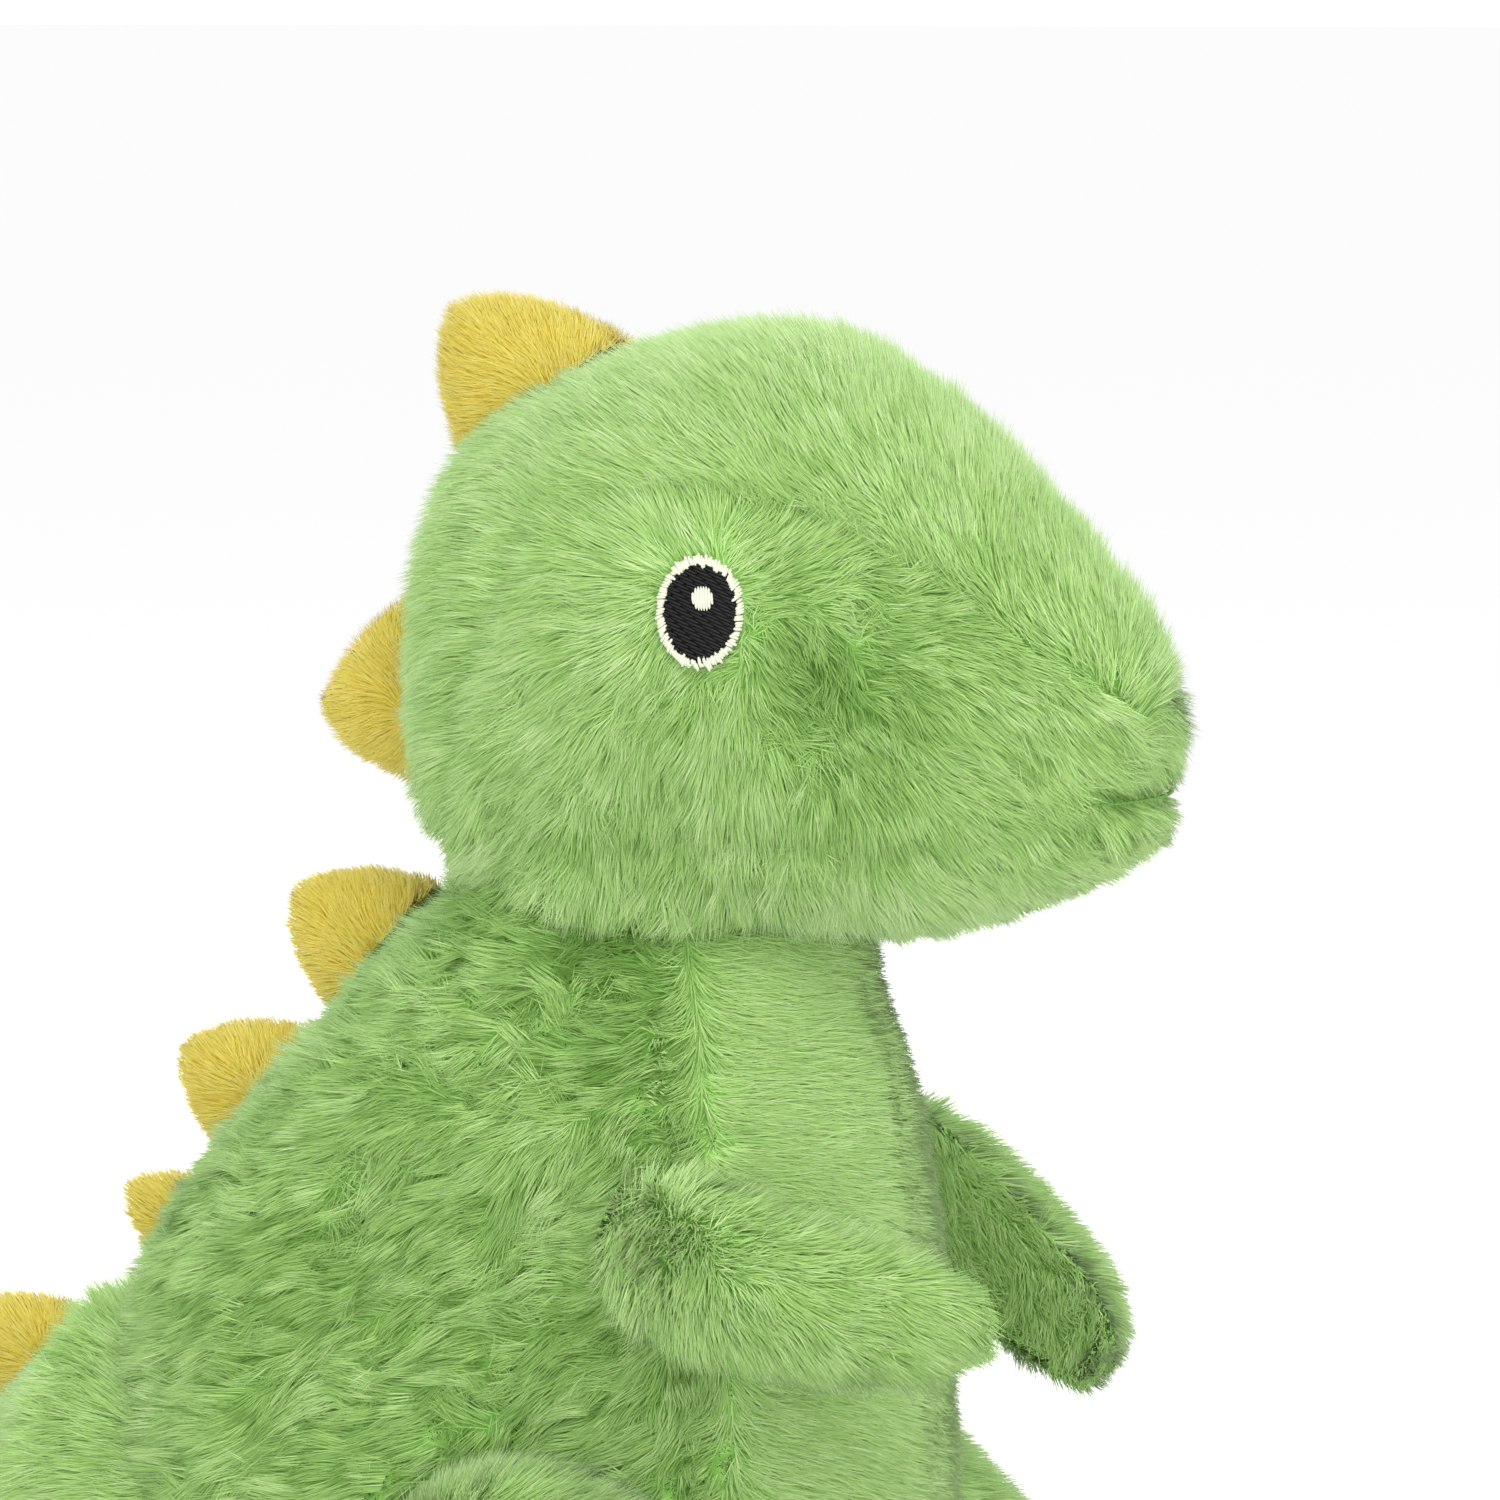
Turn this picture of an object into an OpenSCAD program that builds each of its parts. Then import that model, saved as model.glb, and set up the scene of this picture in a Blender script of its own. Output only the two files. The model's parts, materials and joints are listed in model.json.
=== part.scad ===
// Stuffed dinosaur, sitting: +X is forward, +Y is its left, +Z is up, sizes in mm.
// The origin is the centre of the flat seat panel.

/* [Fabric] */
// Thickness of the plush fabric, with its pile pressed flat
skin = 3; // [2:0.5:3.5]
// Gap between a stuffing and the fabric around it
fill_gap = 0.6; // [0.4:0.1:1]
// Gap between the body and the flat inner face of an arm or a leg
swing_gap = 0.6; // [0.5:0.1:1.5]

/* [Head] */
// Length of the head, from the back to the nose
head_len = 119; // [110:1:124]
// Height of the head, from the jaw to the crown
head_h = 94; // [86:1:96]
// Width of the head across the cheeks
head_w = 88; // [80:1:92]
// Height of the jaw above the floor
jaw_z = 143.5; // [143:0.5:150]
// Width and height of an embroidered eye
eye_size = [13, 16.2];
// Height of the middle of the eye above the floor
eye_z = 196; // [190:0.5:198]

/* [Neck] */
// Place of the neck ball's centre, which is where the head turns and nods
neck_at = [12, 0, 138];
// Radius of the stuffed neck ball
neck_r = 30.5; // [28.5:0.5:31]

/* [Body] */
// Height of the body up to the neck opening
body_h = 135; // [133:0.5:136]
// Reach of the belly in front of the origin
body_front = 58; // [54:1:60]
// Reach of the back behind the origin
body_back = 77; // [72:1:77]
// Width of the body where nothing presses it flat
body_w = 104; // [96:1:108]
// Half width of the body between the legs
hip_half = 46; // [44:1:48]
// Half width of the body between the arms
shoulder_half = 40; // [38:1:42]
// Radius of the flat seat panel
seat_r = 33; // [30:1:34]

/* [Arms] */
// Shoulder pivot, given for the left arm
shoulder_x = 32; // [28:1:34]
shoulder_z = 103; // [99:1:106]
// Length of an arm beyond its pivot
arm_len = 48; // [44:1:54]
// Thickness of an arm
arm_d = 32; // [28:1:34]
// Distance that the tip of an arm bends in towards the middle
arm_bend = 13; // [8:1:14]
// Downward slope of the right arm and of the left arm at rest
right_arm_slope = 13; // [6:1:16]
left_arm_slope = 34; // [26:1:36]

/* [Legs] */
// Place of the sole in front of the origin
sole_x = 88; // [82:1:92]
// Width of a leg
leg_w = 36; // [32:1:38]

/* [Tail] */
// Length of the tail behind the body
tail_len = 73; // [66:1:78]
// Height of the tail where it leaves the body
tail_h = 88; // [84:1:90]
// Width of the tail where it leaves the body
tail_w = 74; // [68:1:76]
// Gap between the body and the root of the tail
tail_gap = 2; // [2:0.5:4]

/* [Spikes] */
// Height of the largest spike above the fabric
spike_h = 20; // [16:1:22]
// Length of the largest spike along its seam
spike_len = 34; // [30:1:36]
// Thickness of the largest spike
spike_t = 17; // [14:1:18]

/* [Hidden] */
// Forms along X. A row is [x, top, bottom, half width] as parts of the driving sizes.
head_form = [
    [0.00, 0.46, 0.44, 0.01], [0.025, 0.74, 0.14, 0.50], [0.11, 0.86, 0.045, 0.79],
    [0.26, 0.95, 0.005, 0.97], [0.36, 0.982, 0, 1], [0.47, 1, 0, 0.99],
    [0.56, 0.979, 0, 0.95], [0.655, 0.915, 0.01, 0.87], [0.74, 0.832, 0.03, 0.77],
    [0.85, 0.694, 0.08, 0.63], [0.94, 0.58, 0.135, 0.46], [0.985, 0.49, 0.20, 0.28],
    [1.00, 0.37, 0.35, 0.01],
];
tail_form = [
    [0.00, 1.00, 0.015, 1.00], [0.15, 0.87, 0.01, 0.92], [0.31, 0.74, 0.005, 0.83],
    [0.49, 0.61, 0.005, 0.71], [0.67, 0.49, 0.005, 0.57], [0.84, 0.39, 0.015, 0.42],
    [0.95, 0.31, 0.055, 0.27], [1.00, 0.19, 0.17, 0.01],
];
leg_form = [
    [0.00, 0.50, 0.48, 0.10], [0.03, 0.72, 0.18, 0.45], [0.13, 0.92, 0.04, 0.75],
    [0.28, 1.00, 0.015, 0.95], [0.45, 0.93, 0.005, 1.00], [0.61, 0.70, 0.005, 1.00],
    [0.76, 0.54, 0.005, 0.97], [0.90, 0.49, 0.005, 0.92], [1.00, 0.45, 0.035, 0.84],
];
arm_form = [
    [0.00, 0.51, 0.49, 0.10], [0.04, 0.78, 0.22, 0.48], [0.18, 0.98, 0.02, 0.85],
    [0.35, 1.00, 0.00, 1.00], [0.58, 0.94, 0.06, 1.00], [0.79, 0.90, 0.10, 0.94],
    [0.93, 0.80, 0.20, 0.78], [0.985, 0.66, 0.34, 0.50], [1.00, 0.51, 0.49, 0.10],
];
// The body's form along Z. A row is [height, front reach, back reach, half width].
body_form = [
    [0.00, 0.62, 0.47, 0.69], [0.022, 0.74, 0.58, 0.81], [0.075, 0.86, 0.78, 0.90],
    [0.18, 0.95, 0.94, 0.96], [0.37, 1.00, 1.00, 1.00], [0.56, 1.00, 0.99, 0.97],
    [0.71, 0.97, 0.93, 0.92], [0.81, 0.94, 0.80, 0.87], [0.89, 0.915, 0.68, 0.81],
    [0.95, 0.88, 0.59, 0.75], [1.00, 0.835, 0.335, 0.70],
];
head_x0 = -25;
cheek_power = 0.82;
leg_x0 = -20;
leg_h = 76;
arm_x0 = -17;
// Half width of the gusset over the crown, and of the chin panel, as angles from the top
gusset_angle = 60;
chin_angle = 124;
// Half width of the belly panel, as an angle from straight ahead
belly_angle = 52;
// Depth that a sewn-on piece sinks into the pile
sew_depth = 2.4;
// Turns the eyes to lie on the cheeks
eye_lean = [6, 12];
// Place and size of the white spot in an eye
glint_at = [-0.6, -1.9, 0];
glint_size = [3, 3.6];
stuffing_steps = 24;

green = "yellowgreen";
yellow = "gold";
white = "ghostwhite";

// ---- Smooth forms ----

// Row of a form at t, counted in rows, on a curve through all of them
function row_at(form, t) =
    let (last = len(form) - 1, i = min(floor(t), last - 1), f = t - i)
    let (a = form[max(i - 1, 0)], b = form[i], c = form[i + 1], d = form[min(i + 2, last)])
    0.5 * (2 * b + (c - a) * f + (2 * a - 5 * b + 4 * c - d) * f * f
        + (3 * b - a - 3 * c + d) * f * f * f);

function scaled(form, sizes) = [for (row = form) [for (i = [0:3]) row[i] * sizes[i]]];
function half_length(form) = (form[len(form) - 1][0] - form[0][0]) / 2;
function half_height(form) = max([for (row = form) row[1] - row[2]]) / 2;
function half_width(form) = max([for (row = form) row[3]]);

// A power under 1 makes the lower half of a section fuller than an ellipse
function fuller(v, angle, power) = cos(angle) < 0 ? sign(v) * pow(abs(v), power) : v;

// Point on a form along X, at an angle from the top, drawn in by inset all round
function x_point(form, t, angle, inset, power = 1) =
    let (row = row_at(form, t), middle = (row[1] + row[2]) / 2)
    let (x_mid = form[0][0] + half_length(form))
    let (kx = 1 - inset / half_length(form), kz = 1 - inset / half_height(form))
    let (ky = 1 - inset / half_width(form))
    [x_mid + (row[0] - x_mid) * kx, row[3] * ky * fuller(sin(angle), angle, power),
        middle + (row[1] - row[2]) / 2 * kz * fuller(cos(angle), angle, power)];

// ---- Head ----
head_rows = scaled(head_form, [head_len, head_h, head_h, head_w / 2]);
// Radius of the hollow under the head that the neck ball turns in
socket_r = neck_r + 3;

function socket_top(x, y) =
    let (reach = pow(socket_r, 2) - pow(x - neck_at[0], 2) - pow(y, 2))
    reach > 0 ? neck_at[2] + sqrt(reach) : 0;

function head_point(t, angle, inset) =
    let (p = x_point(head_rows, t, angle, inset, cheek_power) + [head_x0, 0, jaw_z])
    [p[0], p[1], angle > 90 && angle < 270 ? max(p[2], socket_top(p[0], p[1]) + inset) : p[2]];

// The gusset widens behind the ears to cover the whole back of the head
function gusset_edge(t) = t > 3 ? gusset_angle : gusset_angle + 90 * min(1, (3 - t) / 1.6);
function chin_edge(t) = t > 3 ? chin_angle : chin_angle + 38 * min(1, (3 - t) / 1.6);

// ---- Body ----
body_rows = scaled(body_form, [body_h, body_front, body_back, body_w / 2]);

// Heights between which the body narrows from its hips to its shoulders
narrow_from = 70;
narrow_to = 79;

function flat_half(z) =
    let (f = min(max((z - narrow_from) / (narrow_to - narrow_from), 0), 1))
    hip_half + (shoulder_half - hip_half) * f;

function body_point(t, angle, inset) =
    let (row = row_at(body_rows, t), reach = cos(angle) > 0 ? row[1] : row[2])
    let (y = (row[3] - inset) * sin(angle), limit = flat_half(row[0]) - inset)
    [(reach - inset) * cos(angle), min(max(y, -limit), limit), row[0]];

// ---- Tail ----
tail_x0 = -body_back - tail_gap;
tail_rows = scaled(tail_form, [tail_len, tail_h, tail_h, tail_w / 2]);

function tail_point(t, angle, inset) =
    let (p = x_point(tail_rows, t, angle, inset))
    [tail_x0 - (p[0] - inset), p[1], p[2]];

// ---- Arms and legs: their inner faces are flat, so they swing beside the body ----
arm_rows = scaled(arm_form, [arm_len - arm_x0, arm_d, arm_d, arm_d * 0.72]);
leg_rows = scaled(leg_form, [sole_x - leg_x0, leg_h, leg_h, leg_w]);

function limb_point(form, t, angle, inset, bend) =
    let (p = x_point(form, t, angle, inset), row = row_at(form, t))
    let (y = row[3] * 0.3 + (row[3] * 0.7 - min(inset, row[3] * 0.3)) * sin(angle))
    let (turn = bend * pow(p[0] / form[len(form) - 1][0], 3))
    [p[0], max(y, min(inset, row[3] * 0.3)) - turn, p[2]];

// ---- Solids from grids of points ----

// Closed shell between an outer grid and an inner grid of the same size
module shell(outer, inner) {
    rows = len(outer);
    cols = len(outer[0]);
    points = concat([for (row = outer) each row], [for (row = inner) each row]);
    function at(side, i, j) = side * rows * cols + i * cols + j;
    function quad(a, b, c, d) = [[a, b, c], [a, c, d]];
    faces = concat(
        [for (i = [0:rows - 2], j = [0:cols - 2])
            each quad(at(0, i, j), at(0, i, j + 1), at(0, i + 1, j + 1), at(0, i + 1, j))],
        [for (i = [0:rows - 2], j = [0:cols - 2])
            each quad(at(1, i, j), at(1, i + 1, j), at(1, i + 1, j + 1), at(1, i, j + 1))],
        [for (j = [0:cols - 2])
            each quad(at(0, 0, j + 1), at(0, 0, j), at(1, 0, j), at(1, 0, j + 1))],
        [for (j = [0:cols - 2])
            each quad(at(0, rows - 1, j), at(0, rows - 1, j + 1),
                at(1, rows - 1, j + 1), at(1, rows - 1, j))],
        [for (i = [0:rows - 2])
            each quad(at(0, i, 0), at(0, i + 1, 0), at(1, i + 1, 0), at(1, i, 0))],
        [for (i = [0:rows - 2])
            each quad(at(0, i, cols - 1), at(1, i, cols - 1),
                at(1, i + 1, cols - 1), at(0, i + 1, cols - 1))]);
    polyhedron(points, faces, convexity = 6);
}

// Closed solid through a stack of rings, with a fan at each end
module stack(rings) {
    rows = len(rings);
    cols = len(rings[0]);
    function centre(ring) = [for (i = [0:2]) (min([for (p = ring) p[i]]) + max([for (p = ring) p[i]])) / 2];
    points = concat([for (ring = rings) each ring], [centre(rings[0]), centre(rings[rows - 1])]);
    function at(i, j) = i * cols + j % cols;
    faces = concat(
        [for (i = [0:rows - 2], j = [0:cols - 1])
            each [[at(i, j), at(i, j + 1), at(i + 1, j + 1)], [at(i, j), at(i + 1, j + 1), at(i + 1, j)]]],
        [for (j = [0:cols - 1]) [rows * cols, at(0, j + 1), at(0, j)]],
        [for (j = [0:cols - 1]) [rows * cols + 1, at(rows - 1, j), at(rows - 1, j + 1)]]);
    polyhedron(points, faces, convexity = 6);
}

function steps(from, to, count) = [for (i = [0:count]) from + (to - from) * i / count];

// ---- Head pieces ----
head_last = len(head_form) - 1;

module head_patch(edge_a, edge_b, columns) {
    function grid(inset) = [for (t = steps(0, head_last, head_last * 2))
        [for (f = steps(0, 1, columns)) head_point(t, edge_a(t) + (edge_b(t) - edge_a(t)) * f, inset)]];
    color(green) shell(grid(0), grid(skin));
}

module head_gusset() {
    head_patch(function (t) 360 - gusset_edge(t), function (t) 360 + gusset_edge(t), 16);
}

module head_side_left() {
    head_patch(function (t) gusset_edge(t), function (t) chin_edge(t), 8);
}

module head_chin_panel() {
    head_patch(function (t) chin_edge(t), function (t) 360 - chin_edge(t), 14);
}

module head_stuffing() {
    color(white) stack([for (t = steps(0.3, head_last - 0.3, 20))
        [for (j = [0:stuffing_steps - 1]) head_point(t, j * 360 / stuffing_steps, skin + fill_gap)]]);
}

// ---- Eyes: flat embroidered ovals, made for the left cheek ----
eye_t = 5.35;
eye_angle = acos((eye_z - jaw_z - head_h / 2) / (head_h / 2));
eye_at = head_point(eye_t, eye_angle, 0);

module on_left_cheek() {
    translate(eye_at) rotate([-90 + eye_lean[0], 0, -eye_lean[1]]) children();
}

module oval(width, height, low, high) {
    translate([0, 0, low]) linear_extrude(high - low)
        polygon([for (a = [0:9:351]) [width / 2 * cos(a), height / 2 * sin(a)]]);
}

module eye_border() {
    color(white) on_left_cheek() difference() {
        oval(eye_size[0], eye_size[1], -1.4, 0.7);
        oval(eye_size[0] - 2.6, eye_size[1] - 2.6, -2, 2);
    }
}

module eye_black() {
    color("black") on_left_cheek() difference() {
        oval(eye_size[0] - 2.6, eye_size[1] - 2.6, -1.4, 0.6);
        translate(glint_at) oval(glint_size[0], glint_size[1], -2, 2);
    }
}

module eye_glint() {
    color(white) on_left_cheek() translate(glint_at) oval(glint_size[0], glint_size[1], -1.4, 0.7);
}

// ---- Mouth: a stitched thread across the front of the snout ----
mouth_z = 167.3;
mouth_r = 30;
mouth_turn = 32;

module mouth_stitch() {
    color("olivedrab") translate([head_x0 + head_len - mouth_r - 2.2, 0, mouth_z])
        rotate([0, 0, -mouth_turn]) rotate_extrude(angle = 2 * mouth_turn, $fn = 128)
            translate([mouth_r, 0]) circle(r = 1, $fn = 24);
}

// ---- Neck ----
module neck_stuffing() {
    color(white) translate(neck_at) sphere(r = neck_r - 2 - fill_gap, $fn = 64);
}

module neck_sleeve() {
    color(green) translate(neck_at) rotate_extrude($fn = 64) intersection() {
        difference() {
            circle(r = neck_r, $fn = 64);
            circle(r = neck_r - 2, $fn = 64);
        }
        translate([8, -neck_r]) square([neck_r, 2 * neck_r]);
    }
}

// ---- Body pieces ----
body_last = len(body_form) - 1;

module body_patch(angle_a, angle_b, columns) {
    function grid(inset) = [for (t = steps(body_last, 0, body_last * 2))
        [for (a = steps(angle_a, angle_b, columns)) body_point(t, a, inset)]];
    color(green) shell(grid(0), grid(skin));
}

module body_side_left() {
    body_patch(belly_angle, 180, 16);
}

module belly_panel() {
    body_patch(-belly_angle, belly_angle, 10);
}

module seat_panel() {
    color(green) cylinder(r = seat_r - fill_gap, h = 2, $fn = 64);
}

pouch_top = 23;

module pellet_form(inset) {
    rotate_extrude($fn = 64) hull() {
        translate([0, 2.3 + inset]) square([20, pouch_top - 2.3 - 2 * inset]);
        translate([25 - inset, (pouch_top + 2.3) / 2]) circle(r = 7, $fn = 32);
    }
}

module pellet_pouch() {
    color("linen") difference() {
        pellet_form(0);
        pellet_form(0.8);
    }
}

module pellets() {
    color("lightsteelblue") pellet_form(1);
}

// The stuffing is hollowed at the top for the neck ball to turn in
module body_stuffing() {
    color(white) difference() {
        stack([for (t = steps(body_last, 3, 14))
            [for (j = [0:stuffing_steps - 1])
                body_point(t, j * 360 / stuffing_steps, skin + fill_gap)]]);
        translate(neck_at) sphere(r = neck_r + swing_gap, $fn = 64);
    }
}

module care_label() {
    color(white) translate([-42, -31, 8]) rotate([0, 0, 230]) cube([14, 0.8, 12]);
}

// ---- Arms ----
module arm_place(slope, side) {
    mirror([0, side < 0 ? 1 : 0, 0])
        translate([shoulder_x, shoulder_half + swing_gap, shoulder_z]) rotate([0, slope, 0])
            translate([arm_x0, 0, -arm_d / 2]) children();
}

arm_last = len(arm_form) - 1;

module limb_patch(form, angle_a, angle_b, columns, bend = 0) {
    last = len(form) - 1;
    function grid(inset) = [for (t = steps(0, last, last * 2))
        [for (a = steps(angle_a, angle_b, columns)) limb_point(form, t, a, inset, bend)]];
    color(green) shell(grid(0), grid(skin));
}

module limb_stuffing(form, from, to, count, bend = 0) {
    color(white) stack([for (t = steps(from, to, count))
        [for (j = [0:stuffing_steps - 1])
            limb_point(form, t, j * 360 / stuffing_steps, skin + fill_gap, bend)]]);
}

module arm_outer(slope, side) {
    arm_place(slope, side) limb_patch(arm_rows, 0, 180, 9, arm_bend);
}

module arm_inner(slope, side) {
    arm_place(slope, side) limb_patch(arm_rows, 180, 360, 9, arm_bend);
}

module arm_stuffing(slope, side) {
    arm_place(slope, side) limb_stuffing(arm_rows, 0.6, arm_last - 0.6, 10, arm_bend);
}

// ---- Legs ----
module leg_place(side) {
    mirror([0, side < 0 ? 1 : 0, 0]) translate([leg_x0, hip_half + swing_gap, 0]) children();
}

leg_last = len(leg_form) - 1;

module leg_outer(side) {
    leg_place(side) limb_patch(leg_rows, 0, 180, 10);
}

module leg_inner(side) {
    leg_place(side) limb_patch(leg_rows, 180, 360, 10);
}

module leg_stuffing(side) {
    leg_place(side) limb_stuffing(leg_rows, 0.6, leg_last - 0.6, 12);
}

module leg_sole(side) {
    color(green) leg_place(side) stack([for (x = [-2.5, 0])
        [for (j = [0:stuffing_steps - 1])
            let (p = limb_point(leg_rows, leg_last, j * 360 / stuffing_steps, skin + fill_gap, 0))
            [sole_x - leg_x0 - skin + x, p[1], p[2]]]]);
}

// ---- Tail ----
tail_last = len(tail_form) - 1;

module tail_side_left() {
    function grid(inset) = [for (t = steps(tail_last, 0, tail_last * 2))
        [for (a = steps(0, 180, 14)) tail_point(t, a, inset)]];
    color(green) shell(grid(0), grid(skin));
}

module tail_stuffing() {
    color(white) stack([for (t = steps(tail_last - 0.4, 0.02, 12))
        [for (j = [0:stuffing_steps - 1]) tail_point(t, j * 360 / stuffing_steps, skin + fill_gap)]]);
}

// ---- Spikes: plump rounded triangles on the middle seam ----

// A spike whose base is centred on its own origin and which points along +Z
module spike(size) {
    length = spike_len * size;
    thick = spike_t * size;
    height = spike_h * size;
    color(yellow) stack([for (f = [1, 0.98, 0.92, 0.82, 0.66, 0.44, 0.2, 0])
        let (k = max(0.03, pow(1 - pow(f, 1.4), 0.6)), m = max(0.03, pow(1 - pow(f, 2.6), 0.5)))
        [for (a = [0:20:340])
            [-length / 2 * k * cos(a) - height * 0.17 * f, thick / 2 * m * sin(a),
                -sew_depth + (height + sew_depth) * f]]]);
}

// Puts a spike at [x, z] on the middle plane, leaning back by an angle from upright
module spike_at(x, z, lean, size) {
    translate([x, 0, z]) rotate([0, -lean, 0]) spike(size);
}

module spike_crown() {
    spike_at(-7, 224, 36, 1);
}

module spike_nape() {
    spike_at(-24, 181, 93, 1);
}

// Rows: x, z, lean and size
back_spikes = [[-33.5, 140.7, 51, 0.86], [-53, 117.7, 57, 0.8], [-67.5, 97.5, 52, 0.55]];
tail_spikes = [
    [-91, 74.6, 45, 0.7], [-110, 57.9, 42, 0.65], [-126.5, 44.5, 40, 0.56], [-141, 32.5, 42, 0.46],
];

module back_spike(number) {
    s = back_spikes[number - 1];
    spike_at(s[0], s[1], s[2], s[3]);
}

module tail_spike(number) {
    s = tail_spikes[number - 1];
    spike_at(s[0], s[1], s[2], s[3]);
}

head_gusset();
mirror([0, 1, 0]) head_side_left();  // head_side_right
head_side_left();
head_chin_panel();
head_stuffing();
mirror([0, 1, 0]) eye_border();  // eye_border_right
eye_border();  // eye_border_left
mirror([0, 1, 0]) eye_black();  // eye_black_right
eye_black();  // eye_black_left
mirror([0, 1, 0]) eye_glint();  // eye_glint_right
eye_glint();  // eye_glint_left
mouth_stitch();
spike_crown();
spike_nape();
neck_stuffing();
neck_sleeve();
mirror([0, 1, 0]) body_side_left();  // body_side_right
body_side_left();
belly_panel();
seat_panel();
body_stuffing();
pellet_pouch();
pellets();
care_label();
back_spike(1);  // spike_back_1
back_spike(2);  // spike_back_2
back_spike(3);  // spike_back_3
arm_outer(right_arm_slope, -1);  // arm_outer_right
arm_inner(right_arm_slope, -1);  // arm_inner_right
arm_stuffing(right_arm_slope, -1);  // arm_stuffing_right
arm_outer(left_arm_slope, 1);  // arm_outer_left
arm_inner(left_arm_slope, 1);  // arm_inner_left
arm_stuffing(left_arm_slope, 1);  // arm_stuffing_left
leg_outer(-1);  // leg_outer_right
leg_inner(-1);  // leg_inner_right
leg_sole(-1);  // leg_sole_right
leg_stuffing(-1);  // leg_stuffing_right
leg_outer(1);  // leg_outer_left
leg_inner(1);  // leg_inner_left
leg_sole(1);  // leg_sole_left
leg_stuffing(1);  // leg_stuffing_left
mirror([0, 1, 0]) tail_side_left();  // tail_side_right
tail_side_left();
tail_stuffing();
tail_spike(1);  // spike_tail_1
tail_spike(2);  // spike_tail_2
tail_spike(3);  // spike_tail_3
tail_spike(4);  // spike_tail_4
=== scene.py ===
import json
import math

import bmesh
import bpy
import numpy as np
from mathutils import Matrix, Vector
from mathutils.bvhtree import BVHTree


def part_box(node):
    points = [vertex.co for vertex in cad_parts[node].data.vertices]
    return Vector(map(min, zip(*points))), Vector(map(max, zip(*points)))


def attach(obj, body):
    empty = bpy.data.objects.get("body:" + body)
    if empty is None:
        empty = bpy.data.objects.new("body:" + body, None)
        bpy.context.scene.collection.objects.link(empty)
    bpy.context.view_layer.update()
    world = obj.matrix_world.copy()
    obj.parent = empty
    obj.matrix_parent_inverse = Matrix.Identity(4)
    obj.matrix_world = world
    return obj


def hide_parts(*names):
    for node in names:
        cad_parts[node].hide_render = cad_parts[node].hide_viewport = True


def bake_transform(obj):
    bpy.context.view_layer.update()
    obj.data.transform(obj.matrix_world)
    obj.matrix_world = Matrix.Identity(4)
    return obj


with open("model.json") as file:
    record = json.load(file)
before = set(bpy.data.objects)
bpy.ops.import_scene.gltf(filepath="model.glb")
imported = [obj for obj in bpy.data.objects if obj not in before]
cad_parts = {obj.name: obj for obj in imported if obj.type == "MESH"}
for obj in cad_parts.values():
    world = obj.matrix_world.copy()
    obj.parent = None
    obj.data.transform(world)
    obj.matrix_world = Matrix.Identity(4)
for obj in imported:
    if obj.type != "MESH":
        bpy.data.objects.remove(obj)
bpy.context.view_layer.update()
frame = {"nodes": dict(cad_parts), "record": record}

MM = 0.001
NODES = frame["nodes"]

# ---- Sizes, in millimetres where the name doesn't say otherwise ----
VOXEL = 2.2                  # cell of the remesh that joins the panels into one skin
INSET = 4.6                  # depth of the woven backing under the pile's surface
PILE = 6.6                   # length of the green pile
SPIKE_PILE = 3.4             # length of the yellow pile
SPIKE_INSET = 1.8            # depth of the backing under a spike's surface
WISP_WIDTH = 0.30            # width of a wisp of pile at its root
TUFT_SIZE = 3.0              # size of the tufts that wisps gather in
DENSITY = 6.0                # wisps on each square millimetre
PIECE_WISPS = 60000          # most wisps in one piece
TIP_CLEARANCE = 0.3          # least height of a wisp's tip above the floor
SHADES = 7                   # number of shades from shadow to light
EYE_HALF = np.array([0.0063, 0.0081])  # half width and half height of an eye, in metres
STITCH_LEVEL = 2.5           # height of the embroidery above the woven backing
STITCH_ROW = 0.42            # spacing of the rows in the black of an eye
STITCH_LENGTH = 3.4          # length of a stitch in those rows
SHOULDER_INNER = 40.6        # distance of an arm's inner side from the middle
HIP_REACH = 5.5              # distance that a leg's inner side reaches in to the body
FLOOR_DROP = 0.5             # depth of the floor under the toy, so that the two don't flicker
SIDES = (("right", -1), ("left", 1))


# ---- Materials ----
def srgb(*rgb):
    """Linear colour from 0-255 display values."""
    return tuple((c / 255 / 12.92) if c <= 10 else ((c / 255 + 0.055) / 1.055) ** 2.4 for c in rgb)


def plain_material(name, color, roughness=0.9, sheen=0.0, specular=0.2):
    mat = bpy.data.materials.new(name)
    mat.use_nodes = True
    bsdf = mat.node_tree.nodes["Principled BSDF"]
    bsdf.inputs["Base Color"].default_value = (*color, 1)
    bsdf.inputs["Roughness"].default_value = roughness
    bsdf.inputs["Specular IOR Level"].default_value = specular
    bsdf.inputs["Sheen Weight"].default_value = sheen
    return mat


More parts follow.
